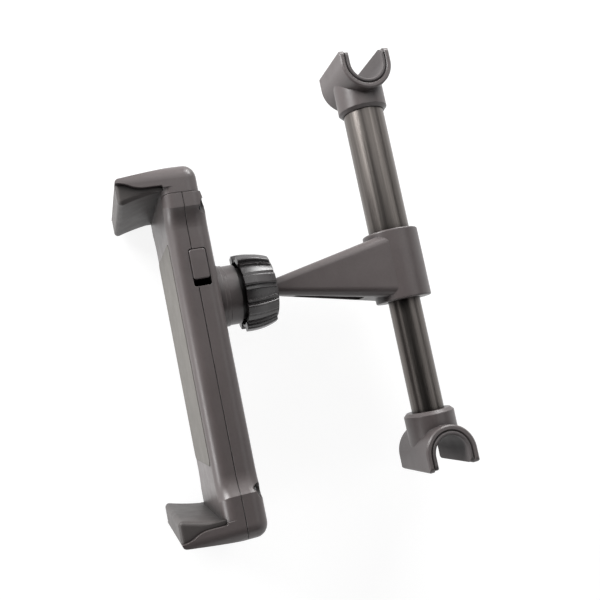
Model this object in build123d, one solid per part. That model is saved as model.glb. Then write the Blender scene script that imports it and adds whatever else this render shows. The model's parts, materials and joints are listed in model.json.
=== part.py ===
from build123d import *
from math import asin, atan, cos, degrees, hypot, radians, sin, sqrt
import os

# Headrest tablet mount. A telescopic rod with a U hook at each end is sprung apart
# between the two posts of a headrest. An arm on the rod ends in a ball, and a holder
# with a spring-loaded jaw turns on that ball, held by a ribbed clamp nut.
# X runs along the rod, -Y is the side of the person who looks at the tablet, +Z is up
# along the posts. The origin is on the rod, midway between the posts.

# Layout
post_spacing = 179.5
rod_travel = 45.0
arm_offset = 3.3
arm_reach = 68.5
holder_offset = 22.55

# Clearances
run_gap = 0.3
bush_gap = 0.05
seat_gap = 0.05

# Rod tubes
outer_tube_dia = 19.0
outer_tube_wall = 1.2
inner_tube_dia = 14.8
inner_tube_wall = 1.4
plug_head = 8.0
plug_spigot = 10.0
key_width = 2.4
key_depth = 0.5
spring_wire = 1.6
spring_turns = 8
spring_margin = 5.0

# Hooks
hook_height = 31.4
hook_bore = 15.5
liner_wall = 1.95
hook_wall = 2.5
lip_reach = 6.5
liner_setback = 0.6
lip_corner = 2.5
lip_round = 1.2
rim_break = 0.6
collar_dia = 23.0
collar_length = 6.7
collar_chamfer = 1.4
socket_floor = 5.0

# Arm
sleeve_wall = 3.35
sleeve_length = 32.0
sleeve_lip = 2.5
sleeve_round = 0.8
fin_setback = 0.4
fin_sink = 0.9
fin_edge_round = 4.6
stem_width = 6.6
stem_height = 8.6
stem_edge_round = 3.0
pocket_length = 32.0
pocket_depth = 5.0
pocket_near_width = 4.0
pocket_far_width = 9.0
pocket_wall = 6.0

# Ball joint
ball_dia = 17.0
finger_grip = 3.0
finger_slot = 1.2
finger_slot_depth = 8.0
friction_pad_wall = 1.4
friction_pad_angle = 28.0
friction_pad_margin = 4.0
joint_swing = 16.0
socket_dia = 25.8
socket_step_dia = 26.5
socket_step = 1.7
socket_flange_dia = 27.4
socket_flange = 4.0
socket_chamfer = 0.3
thread_depth = 1.6
finger_taper = 1.5

# Clamp nut
nut_length = 14.1
nut_gap = 1.3
nut_rim_dia = 29.6
nut_rim_wall = 0.9
nut_recess = 4.0
nut_waist_dia = 29.2
nut_end_dia = 26.4
nut_edge_round = 0.6
nut_lip = 2.8
nut_mouth_dia = 20.6
rib_count = 8
rib_phase = 34.0
rib_width = 4.4
rib_ledge_width = 7.6
rib_rim_dia = 34.0
rib_end_dia = 29.8
rib_overhang = 0.4
rib_ledge_height = 0.45
rib_round = 0.7

# Holder housing
holder_length = 149.2
holder_width = 60.0
waist_inset = 3.0
waist_length = 97.5
neck_run = 8.0
holder_corner = 6.0
body_depth = 16.9
parting_depth = 9.0
parting_groove = 0.35
back_gap = 19.3
back_round = 5.0
front_round = 5.0
shell_wall = 2.2
seam_inset = 12.0
seam_gap = 0.2
cap_step = 1.4
cap_ramp = 5.0
panel_length = 89.5
panel_border = 0.2
panel_corner = 3.0
panel_thickness = 1.2
panel_recess = 0.9

# Jaws and pads
jaw_reach = 16.8
jaw_tip_setback = 3.5
jaw_tip_round = 2.0
jaw_root = 8.2
pad_tip = 8.7
pad_root = 1.8
pad_tip_setback = 5.3
pad_sink = 1.2
pad_hollow = 0.4
pad_curve_length = 11.0
pad_root_round = 0.8
pad_edge_round = 1.6
pad_side_gap = 1.7
jaw_travel = 75.0

# Tongue, springs and guides inside the housing
tongue_width = 40.0
tongue_thickness = 3.0
tongue_reach = 46.0
tongue_slot_width = 12.0
tongue_slot_length = 60.0
spring_spread = 13.0
spring_fixed_x = 54.0
spring_dia = 5.6
spring_loop_wire = 0.9
post_dia = 3.0
post_tip_gap = 1.0
post_stop_gap = 0.5
guide_rib = 1.6

# Screws
screw_neck_offset = 0.5
screw_edge = 3.9
screw_shank_dia = 2.4
screw_head_dia = 4.6
screw_head = 1.8
screw_tip_gap = 1.0
screw_recess_dia = 6.2
screw_recess = 4.0
screw_boss_wall = 0.7
socket_screw_circle_dia = 17.0
socket_screw_count = 4
socket_screw_length = 9.0
screw_drive_dia = 2.0
screw_drive_depth = 0.9

# Lock slider
lock_x = -32.65
lock_y = 6.9
lock_window_length = 15.2
lock_window_width = 7.1
lock_corner = 1.0
lock_travel = 2.6
lock_proud = 0.4
lock_flange = 1.2
lock_flange_thickness = 1.5

# Worked out from the sizes above
ball_y = -arm_reach
holder_x = arm_offset + holder_offset
back_y = ball_y - back_gap
front_y = back_y - body_depth
parting_y = back_y - parting_depth
half_length = holder_length / 2
waist_width = holder_width - 2 * waist_inset
panel_width = waist_width - 2 * (front_round + panel_border)
seam_x = holder_x - half_length + seam_inset
inner_front_y = front_y + shell_wall
inner_back_y = back_y - shell_wall
tongue_front_y = inner_front_y + run_gap
tongue_back_y = tongue_front_y + tongue_thickness
end_wall_x = seam_x + shell_wall
spring_moving_x = end_wall_x - holder_x + jaw_travel + post_dia / 2 + post_stop_gap

outer_tube_r = outer_tube_dia / 2
outer_bore_r = outer_tube_r - outer_tube_wall
inner_tube_r = inner_tube_dia / 2
inner_bore_r = inner_tube_r - inner_tube_wall
bore_r = hook_bore / 2
liner_r = bore_r + liner_wall
hook_inner_r = liner_r + seat_gap
hook_outer_r = hook_inner_r + hook_wall
hook_x = post_spacing / 2
socket_end_x = hook_x - hook_inner_r - socket_floor
sleeve_r = outer_tube_r + sleeve_wall
sleeve_end_x = arm_offset + sleeve_length / 2
tube_end_x = sleeve_end_x - sleeve_lip
plug_back_x = -socket_end_x + rod_travel + spring_turns * spring_wire + spring_margin
plug_face_x = plug_back_x + plug_head
bush_inner_x = plug_face_x + run_gap

ball_r = ball_dia / 2
cup_r = ball_r + run_gap
pad_outer_r = cup_r + friction_pad_wall
pocket_r = pad_outer_r + run_gap
pocket_half_angle = friction_pad_angle + joint_swing + friction_pad_margin
socket_r = socket_dia / 2
thread_r = socket_r - thread_depth
finger_tip_r = thread_r - finger_taper
nut_bore_r = thread_r + run_gap
nut_start = -nut_length / 2
nut_end = nut_length / 2
screw_x = waist_length / 2 + neck_run + screw_neck_offset
screw_z = holder_width / 2 - screw_edge
screw_boss_r = screw_recess_dia / 2 + screw_boss_wall


def holder_plane(y):
    """Plane across the holder at a given Y, looking towards -Y, local x along X and y along Z."""
    return Plane(origin=(holder_x, y, 0), x_dir=(1, 0, 0), z_dir=(0, -1, 0))


def joint_plane():
    """Plane through the ball's centre, local x along X and y along Y."""
    return Plane(origin=(arm_offset, ball_y, 0))


def joint_axis():
    return Axis((arm_offset, ball_y, 0), (0, 1, 0))


def rod_tube(radius, bore, start_x, end_x):
    """Tube along the rod from start_x to end_x."""
    ring = Circle(radius) - Circle(bore) if bore else Circle(radius)
    return extrude(Plane(origin=(start_x, 0, 0), z_dir=(1, 0, 0)) * ring, end_x - start_x)


# Rod

def make_outer_tube():
    tube = rod_tube(outer_tube_r, outer_bore_r, -socket_end_x, tube_end_x)
    keyway = Pos(0, -outer_bore_r, 0) * Box(2 * post_spacing, 2 * key_depth, key_width)
    return tube - keyway


def make_inner_tube():
    return rod_tube(inner_tube_r, inner_bore_r, plug_face_x, socket_end_x)


def make_guide_bush():
    return rod_tube(outer_bore_r - seat_gap, inner_tube_r + bush_gap, bush_inner_x, tube_end_x)


def make_inner_tube_plug():
    head = rod_tube(outer_bore_r - bush_gap, 0, plug_back_x, plug_face_x)
    spigot = rod_tube(inner_bore_r - seat_gap, 0, plug_face_x, plug_face_x + plug_spigot)
    key_x = (plug_back_x + plug_face_x) / 2
    key_z = key_width - 2 * bush_gap
    key = Pos(key_x, -outer_bore_r, 0) * Box(plug_head, 2 * (key_depth - bush_gap), key_z)
    return head + spigot + key


def make_rod_spring():
    start_x = -socket_end_x + spring_wire / 2 + seat_gap
    length = plug_back_x - spring_wire / 2 - seat_gap - start_x
    coil_r = outer_bore_r - run_gap - spring_wire / 2
    path = Helix(length / spring_turns, length, coil_r)
    section = Plane(path @ 0, z_dir=path % 0) * Circle(spring_wire / 2)
    coil = sweep(section, path)
    return Pos(start_x, 0, 0) * Rot(0, 90, 0) * coil


# Hooks

def hook_u(inner_r, outer_r, reach):
    """U with straight legs that open along +X, round the post's axis, its lips' corners rounded."""
    ring = Circle(outer_r) - Circle(inner_r)
    back = ring & Pos(-outer_r, 0) * Rectangle(2 * outer_r, 4 * outer_r)
    middle_r = (inner_r + outer_r) / 2
    legs = [Pos(reach / 2, side * middle_r) * Rectangle(reach, outer_r - inner_r) for side in (-1, 1)]
    face = back + legs
    outer_corners = [v for v in face.vertices() if v.X > reach / 2 and abs(v.Y) > middle_r]
    u_part = extrude(fillet(outer_corners, lip_round), hook_height / 2, both=True)
    rims = [e for e in u_part.edges() if abs(abs(e.center().Z) - hook_height / 2) < 1e-3]
    u_part = chamfer(rims, rim_break)

    # Seen from the side, the lips' four corners are round too.
    length = 4 * outer_r
    side_face = Plane.XZ * Pos(reach - length / 2, 0) * RectangleRounded(length, hook_height, lip_corner)
    return u_part & extrude(side_face, 2 * outer_r, both=True)


def make_sliding_hook(tube_r=inner_tube_r):
    shell = hook_u(hook_inner_r, hook_outer_r, lip_reach)
    collar = rod_tube(collar_dia / 2, 0, -hook_outer_r - collar_length, 0)
    collar_rim = collar.edges().sort_by(Axis.X)[0]
    collar = chamfer(collar_rim, collar_chamfer)
    collar -= Cylinder(hook_inner_r, 2 * hook_height)
    hook = shell + collar
    hook -= rod_tube(tube_r + seat_gap, 0, -2 * hook_outer_r - collar_length, socket_end_x - hook_x)
    return Pos(hook_x, 0, 0) * hook


def make_fixed_hook():
    return mirror(make_sliding_hook(outer_tube_r), Plane.YZ)


def make_sliding_hook_liner():
    return Pos(hook_x, 0, 0) * hook_u(bore_r, liner_r, lip_reach - liner_setback)


def make_fixed_hook_liner():
    return mirror(make_sliding_hook_liner(), Plane.YZ)


# Arm

def make_support_arm():
    sleeve = rod_tube(sleeve_r, 0, sleeve_end_x - sleeve_length, sleeve_end_x)
    sleeve = fillet(sleeve.edges().filter_by(GeomType.CIRCLE), sleeve_round)

    # The fin's broad faces run from the stem to a little under the sleeve's skin, and its
    # edges run from the stem to the sleeve's ends.
    stem_x = stem_width / 2
    stem_z = stem_height / 2
    stem_y = ball_y + sqrt(ball_r ** 2 - stem_z ** 2)
    line_angle = degrees(atan(stem_z / -stem_y))
    touch_angle = degrees(asin(sleeve_r / hypot(stem_y, stem_z))) - line_angle
    touch_y = -sleeve_r * sin(radians(touch_angle))
    touch_z = sleeve_r * cos(radians(touch_angle))
    touch_x = sleeve_length / 2 - fin_setback
    edge_slope = (touch_x - stem_x) / (touch_y - stem_y)
    stem_end = Plane(origin=(arm_offset, stem_y, 0), x_dir=(1, 0, 0), z_dir=(0, 1, 0))
    sleeve_end = Plane(origin=(arm_offset, touch_y, 0), x_dir=(1, 0, 0), z_dir=(0, 1, 0))
    sections = [
        stem_end * RectangleRounded(stem_width, stem_height, stem_edge_round),
        sleeve_end * RectangleRounded(2 * touch_x, 2 * (touch_z - fin_sink), fin_edge_round),
    ]
    fin = loft(sections, ruled=True)

    # Both edges are cored out by a tapered pocket.
    far_y = -sleeve_r - pocket_wall
    near_y = far_y - pocket_length
    pocket_outline = Polyline(
        (near_y, -pocket_near_width / 2),
        (far_y, -pocket_far_width / 2),
        (far_y, pocket_far_width / 2),
        (near_y, pocket_near_width / 2),
        close=True,
    )
    pocket_face = make_face(pocket_outline)
    pocket_face = fillet(pocket_face.vertices(), pocket_near_width / 2 - seat_gap)
    for side in (-1, 1):
        edge_x = stem_x + edge_slope * ((near_y + far_y) / 2 - stem_y)
        tilt = side * degrees(atan(edge_slope))
        floor = Plane(
            origin=(arm_offset + side * (edge_x - pocket_depth), (near_y + far_y) / 2, 0),
            x_dir=(side * sin(radians(abs(tilt))), cos(radians(tilt)), 0),
            z_dir=(side * cos(radians(tilt)), -sin(radians(abs(tilt))), 0),
        )
        centred = Pos(-(near_y + far_y) / 2, 0) * pocket_face
        fin -= extrude(floor * centred, 2 * pocket_depth)

    ball = Pos(arm_offset, ball_y, 0) * Sphere(ball_r)
    arm = sleeve + fin + ball
    arm -= rod_tube(outer_tube_r + seat_gap, 0, -post_spacing, tube_end_x)
    arm -= rod_tube(inner_tube_r + run_gap, 0, tube_end_x - sleeve_lip, post_spacing)
    return arm


# Ball joint

def make_friction_pad():
    angle = radians(friction_pad_angle)
    inner_edge = (cup_r * sin(angle), -cup_r * cos(angle))
    outer_edge = (pad_outer_r * sin(angle), -pad_outer_r * cos(angle))
    half = angle / 2
    outline = Curve() + [
        ThreePointArc((0, -cup_r), (cup_r * sin(half), -cup_r * cos(half)), inner_edge),
        Line(inner_edge, outer_edge),
        ThreePointArc(outer_edge, (pad_outer_r * sin(half), -pad_outer_r * cos(half)), (0, -pad_outer_r)),
        Line((0, -pad_outer_r), (0, -cup_r)),
    ]
    return revolve(joint_plane() * make_face(outline), joint_axis())


def make_ball_socket():
    angle = radians(pocket_half_angle)
    step_start = -back_gap + socket_flange
    shank_start = step_start + socket_step
    thread_start = nut_start - nut_gap
    tip_r = sqrt(cup_r ** 2 - finger_grip ** 2)
    cup_edge = (cup_r * sin(angle), -cup_r * cos(angle))
    pocket_edge = (pocket_r * sin(angle), -pocket_r * cos(angle))
    half = angle / 2
    outside = Polyline(
        (0, -pocket_r),
        (0, -back_gap),
        (socket_flange_dia / 2, -back_gap),
        (socket_flange_dia / 2, step_start - socket_chamfer),
        (socket_step_dia / 2, step_start),
        (socket_step_dia / 2, shank_start - socket_chamfer),
        (socket_r, shank_start),
        (socket_r, thread_start - socket_chamfer),
        (socket_r - socket_chamfer, thread_start),
        (thread_r, thread_start),
        (thread_r, 0),
        (finger_tip_r, finger_grip),
        (tip_r, finger_grip),
    )
    outline = Curve() + [
        outside,
        ThreePointArc((tip_r, finger_grip), (cup_r, 0), cup_edge),
        Line(cup_edge, pocket_edge),
        ThreePointArc(pocket_edge, (pocket_r * sin(half), -pocket_r * cos(half)), (0, -pocket_r)),
    ]
    socket = revolve(joint_plane() * make_face(outline), joint_axis())
    slot_y = ball_y + finger_grip - finger_slot_depth / 2
    for turn in (0, 90):
        slot = Box(finger_slot, finger_slot_depth, socket_dia)
        socket -= Pos(arm_offset, slot_y, 0) * Rot(0, turn, 0) * slot
    for hole in socket_screw_places():
        shank = Cylinder(screw_shank_dia / 2 + seat_gap, 2 * socket_screw_length)
        socket -= Pos(hole.X, back_y, hole.Z) * Rot(90, 0, 0) * shank
    return socket


def make_clamp_nut():
    seat_end = finger_grip + run_gap
    mouth_start = nut_end - nut_lip
    lip_r = ball_r + run_gap + bush_gap
    outer = ThreePointArc(
        (nut_rim_dia / 2, nut_start), (nut_waist_dia / 2, 0), (nut_end_dia / 2, nut_end)
    )
    inner = Polyline(
        (nut_end_dia / 2, nut_end),
        (nut_mouth_dia / 2, nut_end),
        (lip_r, mouth_start),
        (finger_tip_r + run_gap, seat_end),
        (nut_bore_r, run_gap),
        (nut_bore_r, nut_start),
        (nut_rim_dia / 2, nut_start),
    )
    nut = revolve(joint_plane() * make_face(Curve() + [outer, inner]), joint_axis())

    # Each rib follows the nut's curve and stands on a wider, lower ledge.
    fit = rib_rim_dia / 2 - nut_rim_dia / 2
    heights = (rib_ledge_height, fit)
    widths = (rib_ledge_width, rib_width)
    overhangs = (0, rib_overhang)
    ribs = []
    for height, width, overhang in zip(heights, widths, overhangs):
        end_r = nut_end_dia / 2 + height * (rib_end_dia - nut_end_dia) / (2 * fit)
        crest = ThreePointArc(
            (nut_rim_dia / 2 + height, nut_start - overhang),
            (nut_waist_dia / 2 + height, 0),
            (end_r, nut_end - nut_edge_round),
        )
        base = Polyline(
            crest @ 1,
            (nut_mouth_dia / 2 + nut_edge_round, nut_end - nut_edge_round),
            (nut_bore_r + nut_edge_round, run_gap),
            (nut_bore_r + nut_edge_round, nut_start - overhang),
            crest @ 0,
        )
        rib = extrude(make_face(Curve() + [crest, base]), width / 2, both=True)
        if overhang:
            flanks = [e for e in rib.edges() if e.geom_type == GeomType.CIRCLE]
            rib = fillet(flanks, rib_round)
        ribs.append(rib)
    for index in range(rib_count):
        turn = rib_phase - 90 + index * 360 / rib_count
        for rib in ribs:
            nut += Pos(arm_offset, ball_y, 0) * Rot(0, turn, 0) * rib

    # The rim is hollow down to a thin wall.
    rim_y = ball_y + nut_start
    hollow_r = nut_rim_dia / 2 - nut_rim_wall
    return nut - y_rod(arm_offset, 0, hollow_r, rim_y - 2 * rib_overhang, rim_y + nut_recess)


def socket_screw_places():
    """Places of the screws that hold the ball socket, on the rear shell's inner face."""
    middle = Plane(origin=(arm_offset, inner_back_y, 0), x_dir=(1, 0, 0), z_dir=(0, -1, 0))
    ring = PolarLocations(socket_screw_circle_dia / 2, socket_screw_count, start_angle=45)
    return [(middle * place).position for place in ring]


def screw(length):
    """Pan-head screw with its head's underside at the origin, shank along +Y."""
    shank = extrude(Plane.XZ * Circle(screw_shank_dia / 2), -length)
    head = extrude(Plane.XZ * Circle(screw_head_dia / 2), screw_head)
    top_rim = head.edges().filter_by(GeomType.CIRCLE).sort_by(Axis.Y)[0]
    head = fillet(top_rim, screw_head / 3)
    drive = Plane.XZ.offset(screw_head - screw_drive_depth) * RegularPolygon(screw_drive_dia / 2, 6)
    return shank + head - extrude(drive, 2 * screw_drive_depth)


def make_socket_screws():
    one = screw(socket_screw_length)
    return Compound(children=[Pos(place) * one for place in socket_screw_places()])


# Holder housing

def holder_plan(inset=0.0):
    """Dog-bone outline of the holder, seen along Y, moved inwards by inset."""
    half = half_length - inset
    wide = holder_width / 2 - inset
    waist = waist_width / 2 - inset
    start = waist_length / 2
    corner = holder_corner - inset
    with BuildSketch() as plan:
        with BuildLine():
            side = Line((0, waist), (start, waist))
            cove = TangentArc(side @ 1, (start + neck_run, wide), tangent=(1, 0))
            cheek = Line(cove @ 1, (half - corner, wide))
            turn = TangentArc(cheek @ 1, (half, wide - corner), tangent=(1, 0))
            Line(turn @ 1, (half, 0))
            mirror(about=Plane.YZ)
            mirror(about=Plane.XZ)
        make_face()
    return plan.sketch


def holder_block(block_back_y=back_y):
    """Outer form of the whole holder without its fingers."""
    block = extrude(holder_plane(block_back_y) * holder_plan(), block_back_y - front_y)
    block = fillet(block.faces().sort_by(Axis.Y)[-1].edges(), back_round)
    return fillet(block.faces().sort_by(Axis.Y)[0].edges(), front_round)


def x_cut(part, x, keep):
    return split(part, Plane(origin=(x, 0, 0), z_dir=(1, 0, 0)), keep=keep)


def y_cut(part, y, keep):
    return split(part, Plane(origin=(0, y, 0), z_dir=(0, 1, 0)), keep=keep)


def holder_cavity(start_y, end_y):
    """Inside of the shells between two Y values, closed at the seam by an end wall."""
    inside = extrude(holder_plane(end_y) * holder_plan(shell_wall), end_y - start_y)
    return x_cut(inside, end_wall_x, Keep.TOP)


def pad_curve(gap=0.0):
    """Curved seat of a grip pad, from its bend to the jaw's tip, moved outwards by gap."""
    tip_y = front_y - jaw_reach
    bend = (half_length - jaw_root + gap, tip_y + pad_curve_length)
    tip = (half_length - pad_tip_setback + gap, tip_y)
    middle = ((bend[0] + tip[0]) / 2, (bend[1] + tip[1]) / 2)
    first = TangentArc(bend, middle, tangent=(0, -1))
    second = TangentArc(middle, tip, tangent=first % 1)
    return bend, tip, [first, second]


def pad_face():
    """Side outline of a grip pad in the holder's own X and Y, on the +X jaw."""
    bend, tip, curve = pad_curve()
    root = (bend[0], front_y + pad_sink)
    foot = (root[0] - pad_root, root[1])
    grip_root = (foot[0], front_y)
    grip_tip = (tip[0] - pad_tip, tip[1])
    grip_middle = (
        grip_root[0] + (grip_tip[0] - grip_root[0]) * pad_hollow,
        (grip_root[1] + grip_tip[1]) / 2,
    )
    lines = [
        Line(tip, grip_tip),
        ThreePointArc(grip_tip, grip_middle, grip_root),
        Polyline(grip_root, foot, root, bend),
    ]
    face = make_face(Curve() + curve + lines)
    corner = face.vertices().sort_by_distance((root[0], root[1], 0))[0]
    return fillet(corner, pad_root_round)


def pad_seat():
    """Cutter that opens the +X jaw's finger for its pad."""
    bend, tip, curve = pad_curve(seat_gap)
    root_y = front_y + pad_sink + seat_gap
    inner_x = bend[0] - pad_root - seat_gap
    lines = Polyline(
        tip,
        (tip[0], tip[1] - jaw_reach),
        (inner_x, tip[1] - jaw_reach),
        (inner_x, root_y),
        (bend[0], root_y),
        bend,
    )
    face = make_face(Curve() + curve + [lines])
    corner = face.vertices().sort_by_distance((bend[0], root_y, 0))[0]
    face = fillet(corner, pad_root_round)
    return extrude(Pos(holder_x, 0) * face, holder_width, both=True)


def jaw_finger():
    """Finger of the +X jaw before its outer face is sloped, down to the parting plane."""
    inner_x = half_length - jaw_root - pad_root / 2
    finger = extrude(holder_plane(parting_y) * holder_plan(), parting_y - front_y + jaw_reach)
    return x_cut(finger, holder_x + inner_x, Keep.TOP)


def jaw_slope():
    """Cutter that slopes the +X jaw's outer face from the parting plane and rounds its tip."""
    tip_y = front_y - jaw_reach
    tip = (half_length - jaw_tip_setback, tip_y)
    kept = make_face(Polyline((0, parting_y), (0, tip_y), tip, (half_length, parting_y), close=True))
    corner = kept.vertices().sort_by_distance((tip[0], tip[1], 0))[0]
    kept = fillet(corner, jaw_tip_round)
    far_y = tip_y - jaw_reach
    around = make_face(Polyline(
        (0, parting_y), (0, far_y), (holder_length, far_y), (holder_length, parting_y), close=True
    ))
    return extrude(Pos(holder_x, 0) * (around - kept), holder_width, both=True)


def holder_mirror(part):
    return mirror(part, Plane(origin=(holder_x, 0, 0), z_dir=(1, 0, 0)))


def make_fixed_jaw_pad():
    pad = extrude(Pos(holder_x, 0) * pad_face(), holder_width / 2 - pad_side_gap, both=True)
    grip_x = holder_x + half_length - pad_tip_setback - pad_tip
    rim = [e for e in pad.edges() if e.bounding_box().min.X < grip_x + pad_edge_round / 2]
    return fillet(rim, pad_edge_round)


def make_sliding_jaw_pad():
    return holder_mirror(make_fixed_jaw_pad())


def screw_places():
    return [(holder_x + x, z) for x in (-screw_x, screw_x) for z in (-screw_z, screw_z)]


def y_rod(x, z, radius, start_y, end_y):
    """Round bar along Y between two Y values."""
    plane = Plane(origin=(x, start_y, z), x_dir=(1, 0, 0), z_dir=(0, 1, 0))
    return extrude(plane * Circle(radius), end_y - start_y)


def lock_window():
    """Cutter for the lock slider's window, right through the +Z side wall."""
    face = RectangleRounded(lock_window_length, lock_window_width, lock_corner)
    return extrude(Pos(holder_x + lock_x, back_y - lock_y, 0) * face, holder_width)


def make_rear_shell():
    block = holder_block()
    shell = x_cut(y_cut(block, parting_y, Keep.TOP), seam_x, Keep.TOP)
    shell -= holder_cavity(parting_y, inner_back_y)
    tongue_gap_y = tongue_back_y + run_gap

    # Upstand behind the tongue, in the end wall.
    upstand = Box(shell_wall, inner_back_y - tongue_gap_y, tongue_width)
    shell += Pos(seam_x + shell_wall / 2, (inner_back_y + tongue_gap_y) / 2, 0) * upstand

    # Guide ribs that carry the tongue from behind.
    rib_length = waist_length
    for side in (-1, 1):
        rib = Box(rib_length, inner_back_y - tongue_gap_y, guide_rib)
        rib_z = side * (tongue_width / 2 - guide_rib)
        shell += Pos(holder_x, (inner_back_y + tongue_gap_y) / 2, rib_z) * rib

    # Posts for the fixed ends of the return springs.
    for side in (-1, 1):
        x = holder_x + spring_fixed_x
        shell += y_rod(x, side * spring_spread, post_dia / 2, tongue_gap_y + post_tip_gap, inner_back_y)

    for x, z in screw_places():
        shell += y_rod(x, z, screw_boss_r, parting_y, inner_back_y) & block
    for x, z in screw_places():
        shell -= y_rod(x, z, screw_recess_dia / 2, back_y - screw_recess, ball_y)
        shell -= y_rod(x, z, screw_shank_dia / 2 + run_gap, front_y, back_y)
    for place in socket_screw_places():
        shell -= y_rod(place.X, place.Z, screw_shank_dia / 2 + run_gap, parting_y, ball_y)

    # The back falls away to the sliding jaw's lower cap at the seam.
    ramp = Polyline(
        (seam_x, back_y - cap_step), (seam_x + cap_ramp, back_y), (seam_x, back_y), close=True
    )
    shell -= extrude(make_face(ramp), holder_width, both=True)

    # Fine groove round the edge, along the front shell.
    ring = holder_plan() - holder_plan(parting_groove)
    shell -= extrude(holder_plane(parting_y + parting_groove) * ring, parting_groove)
    return shell - lock_window()


def make_front_shell():
    block = holder_block()
    shell = x_cut(y_cut(block, parting_y, Keep.BOTTOM), seam_x, Keep.TOP)
    shell -= holder_cavity(inner_front_y, parting_y)
    shell += jaw_finger()
    shell -= jaw_slope()
    shell -= pad_seat()

    # Notch in the end wall for the tongue.
    notch = Box(3 * shell_wall, parting_y - inner_front_y, tongue_width + 2 * run_gap)
    shell -= Pos(seam_x, (parting_y + inner_front_y) / 2, 0) * notch

    for x, z in screw_places():
        shell += y_rod(x, z, screw_boss_r, inner_front_y, parting_y) & block
    for x, z in screw_places():
        shell -= y_rod(x, z, screw_shank_dia / 2 + seat_gap, inner_front_y, parting_y)

    recess = RectangleRounded(panel_length + 2 * seat_gap, panel_width + 2 * seat_gap, panel_corner)
    shell -= extrude(holder_plane(front_y + panel_recess) * recess, body_depth)
    return shell - lock_window()


def make_front_panel():
    face = RectangleRounded(panel_length, panel_width, panel_corner)
    panel = extrude(holder_plane(front_y + panel_recess) * face, panel_thickness)
    return fillet(panel.faces().sort_by(Axis.Y)[0].edges(), panel_thickness / 4)


def make_housing_screws():
    seat_y = back_y - screw_recess
    one = Rot(180, 0, 0) * screw(seat_y - inner_front_y - screw_tip_gap)
    return Compound(children=[Pos(x, seat_y, z) * one for x, z in screw_places()])


def make_return_spring(side):
    """Closed-wound extension spring along X, with a loop round the post at each end."""
    coil_y = (tongue_back_y + inner_back_y) / 2
    z = side * spring_spread
    loop_r = post_dia / 2 + seat_gap + spring_loop_wire / 2
    start_x = holder_x + spring_moving_x
    end_x = holder_x + spring_fixed_x
    ring = Circle(spring_dia / 2) - Circle(spring_dia / 2 - spring_loop_wire)
    coil_plane = Plane(origin=(start_x + loop_r, coil_y, z), z_dir=(1, 0, 0))
    spring = extrude(coil_plane * ring, end_x - start_x - 2 * loop_r)
    for x, turn in ((start_x, 1), (end_x, -1)):
        spring += Pos(x, coil_y, z) * Rot(90, 0, 0) * Torus(loop_r, spring_loop_wire / 2)
        bridge = Box(spring_loop_wire, spring_loop_wire, spring_dia - spring_loop_wire)
        spring += Pos(x + turn * loop_r, coil_y, z) * bridge
    return spring


# Sliding jaw

def make_sliding_jaw():
    cap = x_cut(holder_block(back_y - cap_step), seam_x - seam_gap, Keep.BOTTOM)
    hollow_y = inner_back_y - cap_step
    hollow = extrude(holder_plane(hollow_y) * holder_plan(shell_wall), hollow_y - inner_front_y)
    cap -= x_cut(hollow, seam_x, Keep.BOTTOM)
    cap += holder_mirror(jaw_finger())
    cap -= holder_mirror(jaw_slope())
    cap -= holder_mirror(pad_seat())

    tongue_start = holder_x - half_length + shell_wall / 2
    tongue_end = holder_x + tongue_reach
    tongue_y = (tongue_front_y + tongue_back_y) / 2
    tongue = Box(tongue_end - tongue_start, tongue_thickness, tongue_width)
    tongue = Pos((tongue_start + tongue_end) / 2, tongue_y, 0) * tongue
    slot = SlotOverall(tongue_slot_length, tongue_slot_width)
    slot_x = (seam_x + holder_x + spring_moving_x) / 2
    slot_plane = Plane(origin=(slot_x, front_y, 0), x_dir=(1, 0, 0), z_dir=(0, 1, 0))
    tongue -= extrude(slot_plane * slot, body_depth)
    for side in (-1, 1):
        x = holder_x + spring_moving_x
        end_y = inner_back_y - post_tip_gap
        tongue += y_rod(x, side * spring_spread, post_dia / 2, tongue_back_y, end_y)
    return cap + tongue


# Lock slider

def make_lock_slider():
    side_z = waist_width / 2
    inner_z = side_z - shell_wall - run_gap
    length = lock_window_length - lock_travel - 2 * run_gap
    width = lock_window_width - 2 * run_gap
    x = holder_x + lock_x - lock_travel / 2
    y = back_y - lock_y
    flange = RectangleRounded(length, width + 2 * lock_flange, lock_corner)
    slider = extrude(Pos(x, y, inner_z - lock_flange_thickness) * flange, lock_flange_thickness)
    tab = RectangleRounded(length, width, lock_corner)
    tab_height = side_z + lock_proud - inner_z
    tab_solid = extrude(Pos(x, y, inner_z) * tab, tab_height)
    tab_solid = fillet(tab_solid.faces().sort_by(Axis.Z)[-1].edges(), lock_proud)
    return slider + tab_solid


nodes = {
    "support_arm": make_support_arm(),
    "outer_tube": make_outer_tube(),
    "fixed_hook": make_fixed_hook(),
    "fixed_hook_liner": make_fixed_hook_liner(),
    "guide_bush": make_guide_bush(),
    "rod_spring": make_rod_spring(),
    "inner_tube": make_inner_tube(),
    "inner_tube_plug": make_inner_tube_plug(),
    "sliding_hook": make_sliding_hook(),
    "sliding_hook_liner": make_sliding_hook_liner(),
    "friction_pad": make_friction_pad(),
    "clamp_nut": make_clamp_nut(),
    "ball_socket": make_ball_socket(),
    "socket_screws": make_socket_screws(),
    "rear_shell": make_rear_shell(),
    "front_shell": make_front_shell(),
    "front_panel": make_front_panel(),
    "fixed_jaw_pad": make_fixed_jaw_pad(),
    "housing_screws": make_housing_screws(),
    "return_spring_upper": make_return_spring(1),
    "return_spring_lower": make_return_spring(-1),
    "sliding_jaw": make_sliding_jaw(),
    "sliding_jaw_pad": make_sliding_jaw_pad(),
    "lock_slider": make_lock_slider(),
}

os.makedirs("parts", exist_ok=True)
for name, solid in nodes.items():
    export_step(solid, f"parts/{name}.step")
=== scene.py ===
import json
import math
import bpy
from mathutils import Matrix, Vector


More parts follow.
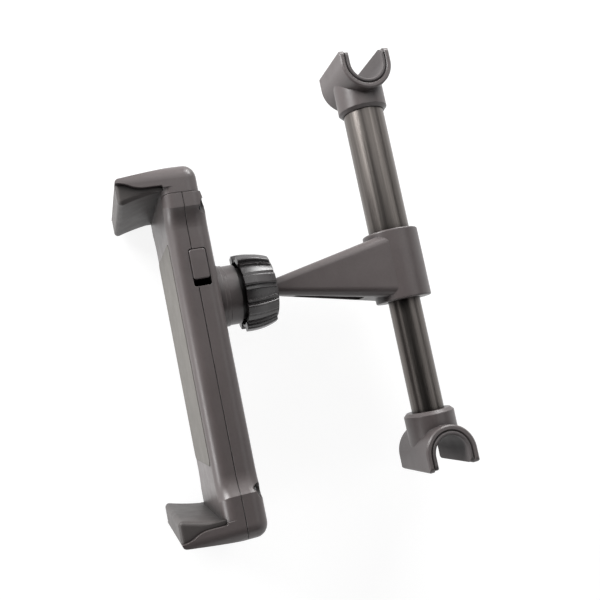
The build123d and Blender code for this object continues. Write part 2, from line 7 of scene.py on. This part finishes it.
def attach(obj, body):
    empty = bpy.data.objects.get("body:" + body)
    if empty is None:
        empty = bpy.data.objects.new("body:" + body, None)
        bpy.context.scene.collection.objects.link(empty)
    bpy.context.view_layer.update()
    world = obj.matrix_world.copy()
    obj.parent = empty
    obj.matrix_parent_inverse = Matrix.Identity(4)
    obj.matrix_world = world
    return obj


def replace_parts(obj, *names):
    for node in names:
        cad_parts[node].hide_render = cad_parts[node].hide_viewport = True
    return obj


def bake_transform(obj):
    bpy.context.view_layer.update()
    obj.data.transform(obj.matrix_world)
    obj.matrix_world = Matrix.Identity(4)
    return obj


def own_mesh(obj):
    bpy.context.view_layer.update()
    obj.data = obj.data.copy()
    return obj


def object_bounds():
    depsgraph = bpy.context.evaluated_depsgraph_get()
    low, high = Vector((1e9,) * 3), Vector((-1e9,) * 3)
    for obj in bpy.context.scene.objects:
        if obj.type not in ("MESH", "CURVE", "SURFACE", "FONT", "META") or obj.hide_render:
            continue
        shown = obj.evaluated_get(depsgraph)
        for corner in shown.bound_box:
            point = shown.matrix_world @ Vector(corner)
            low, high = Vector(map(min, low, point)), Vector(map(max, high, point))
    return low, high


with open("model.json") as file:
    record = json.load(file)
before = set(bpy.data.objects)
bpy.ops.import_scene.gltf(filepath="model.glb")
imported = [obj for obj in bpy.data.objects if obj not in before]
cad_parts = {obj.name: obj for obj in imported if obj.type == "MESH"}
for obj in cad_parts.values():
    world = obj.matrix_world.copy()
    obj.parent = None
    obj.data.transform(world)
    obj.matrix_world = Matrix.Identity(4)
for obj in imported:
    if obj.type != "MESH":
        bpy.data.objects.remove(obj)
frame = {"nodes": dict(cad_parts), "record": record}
cad_low, cad_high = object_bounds()
nodes = frame["nodes"]
scene = bpy.context.scene
scene.view_settings.view_transform = "Standard"

MM = 0.001
WHITE = (1, 1, 1, 1)

# Surfaces: shares and sizes of the noises, and the values between which noises, painted edge highlights and
# shade, and painted shade in hollows take effect.
# Edges go by the cosine between two normals, hollows by the share of open sky.
CLOUD_SHARE, SPECKLE_SHARE = 0.7, 0.3
COLOUR_LOW, COLOUR_HIGH = 0.3, 0.7
SPECKLE_SIZE = 3
SMEAR_SIZE = 0.4
SMEAR_LOW, SMEAR_HIGH = 0.25, 0.75
GLOSS_CHANGE = 0.06
EDGE_START, EDGE_FULL = 0.99, 0.80
HOLLOW_SHADE_START, HOLLOW_SHADE_FULL = 0.93, 0.4
BUMP_STRENGTH = 0.5


def place(object_data, name, matrix):
    """Links a new object with this data into the scene, at this place."""
    thing = bpy.data.objects.new(name, object_data)
    scene.collection.objects.link(thing)
    thing.matrix_world = matrix
    return thing


def facing(location, right, up):
    """The placement of a camera with these axes, which looks along the third one's negative."""
    right = Vector(right).normalized()
    up = Vector(up).normalized()
    back = right.cross(up)
    turn = Matrix((right, up, back)).transposed().to_4x4()
    return Matrix.Translation(Vector(location)) @ turn


def aimed(location, target):
    """The placement of a lamp that shines from location to target."""
    direction = Vector(target) - Vector(location)
    return Matrix.Translation(Vector(location)) @ direction.to_track_quat("-Z", "Y").to_matrix().to_4x4()


class Graph:
    """A node tree, with short calls to add nodes and link them."""

    def __init__(self, tree):
        self.tree = tree
        self.tree.nodes.clear()

    def add(self, kind, settings=None, **inputs):
        node = self.tree.nodes.new(kind)
        for name, value in (settings or {}).items():
            setattr(node, name, value)
        for name, value in inputs.items():
            self.put(node, name.replace("_", " "), value)
        return node

    def put(self, node, name, value):
        socket = node.inputs[int(name)] if name.isdigit() else node.inputs[name]
        if isinstance(value, bpy.types.NodeSocket):
            self.tree.links.new(value, socket)
        else:
            socket.default_value = value

    def maths(self, operation, first, second):
        node = self.add("ShaderNodeMath", {"operation": operation})
        self.put(node, "0", first)
        self.put(node, "1", second)
        return node.outputs[0]

    def spread(self, value, low, high, to_low, to_high):
        node = self.add("ShaderNodeMapRange")
        limits = {"From Min": low, "From Max": high, "To Min": to_low, "To Max": to_high}
        for name, number in limits.items():
            self.put(node, name, number)
        self.put(node, "Value", value)
        return node.outputs["Result"]

    def noise(self, vector, size, detail=2.0, roughness=0.5):
        node = self.add("ShaderNodeTexNoise", Scale=1.0 / size, Detail=detail, Roughness=roughness)
        self.put(node, "Vector", vector)
        return node.outputs["Fac"]

    def blend(self, factor, first, second):
        node = self.add("ShaderNodeMix", {"data_type": "RGBA"})
        self.put(node, "0", factor)
        self.put(node, "6", first)
        self.put(node, "7", second)
        return node.outputs[2]


def shade(colour, factor):
    """A colour, made lighter or darker."""
    return tuple(min(1.0, c * factor) for c in colour) + (1.0,)


def surface(name, colour, roughness, grain, height, variation=0.10, mottle=18 * MM, stretch=(1, 1, 1),
            metallic=0.0, specular=0.5, edge_light=1.6, edge_radius=0.35 * MM, hollow_shade_dark=0.25,
            hollow_shade_size=7 * MM):
    """A material with colour mottling, uneven gloss, fine grain, edges painted lighter as highlights (or
    darker as shade where the edge factor is below 1), and painted shade in its hollows.
    """
    material = bpy.data.materials.new(name)
    material.use_nodes = True
    graph = Graph(material.node_tree)
    output = graph.add("ShaderNodeOutputMaterial")
    shader = graph.add("ShaderNodeBsdfPrincipled")
    graph.put(output, "Surface", shader.outputs[0])
    where = graph.add("ShaderNodeTexCoord").outputs["Object"]
    mapping = graph.add("ShaderNodeMapping", Scale=stretch)
    graph.put(mapping, "Vector", where)
    stretched = mapping.outputs[0]

    # Colour: large soft clouds and a finer speckle.
    clouds = graph.noise(stretched, mottle, 3.0)
    speckle = graph.noise(stretched, grain * SPECKLE_SIZE, 1.0)
    mixed = graph.maths("ADD", graph.maths("MULTIPLY", clouds, CLOUD_SHARE),
                        graph.maths("MULTIPLY", speckle, SPECKLE_SHARE))
    amount = graph.spread(mixed, COLOUR_LOW, COLOUR_HIGH, 0.0, 1.0)
    body = graph.blend(amount, shade(colour, 1 - variation), shade(colour, 1 + variation))

    # Edges: where the rounded normal leaves the face's own, the colour is painted lighter as a highlight when
    # edge_light is above 1, and darker as shade when it is below 1.
    rounded = graph.add("ShaderNodeBevel", {"samples": 4}, Radius=edge_radius).outputs[0]
    own = graph.add("ShaderNodeNewGeometry").outputs["Normal"]
    turn = graph.add("ShaderNodeVectorMath", {"operation": "DOT_PRODUCT"})
    graph.put(turn, "0", rounded)
    graph.put(turn, "1", own)
    edge = graph.spread(turn.outputs["Value"], EDGE_START, EDGE_FULL, 0.0, 1.0)
    with_painted_edges = graph.blend(edge, body, shade(colour, edge_light))

    # Hollows: painted shade, which darkens the corners and seams by how little open sky they see.
    shelter = graph.add("ShaderNodeAmbientOcclusion", {"samples": 8}, Distance=hollow_shade_size).outputs["AO"]
    painted_hollow_shade = graph.spread(shelter, HOLLOW_SHADE_FULL, HOLLOW_SHADE_START, 1.0, 0.0)
    graph.put(shader, "Base Color", graph.blend(painted_hollow_shade, with_painted_edges, shade(colour, hollow_shade_dark)))

    # Gloss: uneven, in smears.
    smears = graph.noise(stretched, mottle * SMEAR_SIZE, 4.0, 0.6)
    gloss = graph.spread(smears, SMEAR_LOW, SMEAR_HIGH, roughness - GLOSS_CHANGE, roughness + GLOSS_CHANGE)
    graph.put(shader, "Roughness", gloss)

    # Grain: a fine bump over the rounded edges.
    fine = graph.noise(stretched, grain, 2.0)
    bump = graph.add("ShaderNodeBump", Strength=BUMP_STRENGTH, Distance=height)
    graph.put(bump, "Height", fine)
    graph.put(bump, "Normal", rounded)
    graph.put(shader, "Normal", bump.outputs[0])

    shader.inputs["Metallic"].default_value = metallic
    shader.inputs["Specular IOR Level"].default_value = specular
    return material


# Edge factors above 1 paint highlights along the edges, strongest on the nut; the panel's factor below 1
# paints shade along its border. Each of these materials also paints shade into its hollows.
looks = {
    "moulded_plastic": surface("satin_moulding", (0.095, 0.080, 0.079), 0.38, 0.35 * MM, 0.03 * MM,
                               specular=0.6),
    "nut_plastic": surface("gloss_moulding", (0.036, 0.031, 0.032), 0.27, 0.6 * MM, 0.01 * MM, specular=0.8,
                           edge_light=3.0, hollow_shade_dark=0.1, hollow_shade_size=3 * MM),
    "rod_metal": surface("drawn_tube", (0.160, 0.145, 0.135), 0.33, 0.12 * MM, 0.004 * MM, variation=0.3,
                         mottle=1.6 * MM, stretch=(0.02, 1, 1), metallic=1.0),
    "liner_rubber": surface("liner_rubber", (0.105, 0.095, 0.095), 0.5, 0.3 * MM, 0.03 * MM, specular=0.2),
    "pad_rubber": surface("pad_rubber", (0.064, 0.057, 0.055), 0.5, 0.4 * MM, 0.04 * MM, specular=0.35,
                          edge_radius=0.6 * MM),
    "panel_plastic": surface("panel_skin", (0.125, 0.116, 0.105), 0.6, 0.25 * MM, 0.03 * MM, specular=0.6,
                             edge_light=0.25, edge_radius=0.5 * MM),
    "bearing_plastic": surface("bearing_plastic", (0.72, 0.71, 0.67), 0.4, 0.3 * MM, 0.01 * MM,
                               variation=0.04),
    "spring_steel": surface("spring_wire", (0.5, 0.5, 0.5), 0.28, 0.2 * MM, 0.006 * MM, metallic=1.0),
    "screw_steel": surface("black_zinc", (0.07, 0.07, 0.073), 0.4, 0.25 * MM, 0.01 * MM, metallic=1.0),
}

for subpart in frame["record"]["subparts"]:
    node = nodes[subpart["node"]]
    node.data.materials.clear()
    node.data.materials.append(looks[subpart["material_slot"]])


def spring(node_name, name):
    """A piece with the shape of this spring, which stands for it."""
    piece = place(nodes[node_name].data.copy(), name, Matrix.Identity(4))
    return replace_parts(piece, node_name)


rod_coil = spring("rod_spring", "rod_coil")
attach(rod_coil, "arm")
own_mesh(rod_coil)
for side in ("upper", "lower"):
    return_coil = spring("return_spring_" + side, "return_coil_" + side)
    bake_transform(return_coil)

# Camera, as in the photograph.
CAMERA_SENSOR = 36.0
CAMERA_LENS = 44.117
CAMERA_NEAR = 10 * MM
CAMERA_AT = (0.038617, -0.142222, 0.312406)
CAMERA_RIGHT = (0.2019, 0.9434, 0.2630)
CAMERA_UP = (-0.9757, 0.1704, 0.1377)
camera_data = bpy.data.cameras.new("camera")
camera_data.sensor_width = CAMERA_SENSOR
camera_data.lens = CAMERA_LENS
camera_data.clip_start = CAMERA_NEAR
scene.camera = place(camera_data, "camera", facing(CAMERA_AT, CAMERA_RIGHT, CAMERA_UP))


def seen_rays(graph):
    """1 for rays from the camera, from glossy reflections or through clear material."""
    path = graph.add("ShaderNodeLightPath")
    seen = graph.maths("MAXIMUM", path.outputs["Is Camera Ray"], path.outputs["Is Glossy Ray"])
    return graph.maths("MAXIMUM", seen, path.outputs["Is Transmission Ray"])


# Floor and backdrop: white, with a soft shadow of the object left in it.
STAGE_RADIUS = 2.5
WALL_HEIGHT = 1.2
STAGE_SIDES = 64
FLOOR_GAP = 0.3 * MM
FLOOR_GLOW = 0.87
FLOOR_PAINT = (0.25, 0.25, 0.25, 1)
bearings = [k * math.tau / STAGE_SIDES for k in range(STAGE_SIDES)]
rim = [(STAGE_RADIUS * math.cos(turn), STAGE_RADIUS * math.sin(turn)) for turn in bearings]
corners = [(x, y, z) for z in (0, WALL_HEIGHT) for x, y in rim]
wall = []
for k in range(STAGE_SIDES):
    after = (k + 1) % STAGE_SIDES
    wall.append((k, after, after + STAGE_SIDES, k + STAGE_SIDES))
floor_mesh = bpy.data.meshes.new("floor")
floor_mesh.from_pydata(corners, [], [tuple(range(STAGE_SIDES))] + wall)
floor = place(floor_mesh, "floor", Matrix.Translation((0, 0, cad_low[2] - FLOOR_GAP)))
floor_look = bpy.data.materials.new("floor")
floor_look.use_nodes = True
graph = Graph(floor_look.node_tree)
seen = seen_rays(graph)
paint = graph.add("ShaderNodeBsdfDiffuse", Color=FLOOR_PAINT)
glow = graph.add("ShaderNodeEmission", Color=WHITE, Strength=graph.maths("MULTIPLY", seen, FLOOR_GLOW))
both = graph.add("ShaderNodeAddShader")
graph.put(both, "0", paint.outputs[0])
graph.put(both, "1", glow.outputs[0])
graph.put(graph.add("ShaderNodeOutputMaterial"), "Surface", both.outputs[0])
floor_mesh.materials.append(floor_look)

# World: a little soft light from all round.
SKY_LIGHT = 0.02
world = bpy.data.worlds.new("studio")
scene.world = world
world.use_nodes = True
graph = Graph(world.node_tree)
soft = graph.add("ShaderNodeBackground", Color=WHITE, Strength=SKY_LIGHT)
graph.put(graph.add("ShaderNodeOutputWorld"), "Surface", soft.outputs[0])

# Lamps: soft boxes round the object, all aimed at its middle.
LAMP_TARGET = Vector((0, -0.05, 0))
LAMPS = [
    # name, bearing and rise in degrees, distance, width and height in metres, power in watts
    ("soft_box_left", 224, 14, 0.85, 0.45, 0.35, 10.0),
    ("soft_box_front", 284, 8, 0.85, 0.4, 0.2, 3.2),
    ("soft_box_right", 146, 17, 0.85, 0.45, 0.35, 6.0),
    ("soft_box_side", 88, 58, 0.85, 1.0, 0.45, 1.5),
    ("soft_box_top", 176, 52, 0.45, 0.35, 0.35, 0.55),
    ("soft_box_fill", 15, 18, 0.85, 0.5, 0.5, 0.35),
]
for name, bearing, rise, distance, width, height, power in LAMPS:
    turn = math.radians(bearing)
    lift = math.radians(rise)
    way = Vector((math.cos(lift) * math.cos(turn), math.cos(lift) * math.sin(turn), math.sin(lift)))
    light = bpy.data.lights.new(name, "AREA")
    light.shape = "RECTANGLE"
    light.size = width
    light.size_y = height
    light.energy = power
    place(light, name, aimed(LAMP_TARGET + distance * way, LAMP_TARGET))
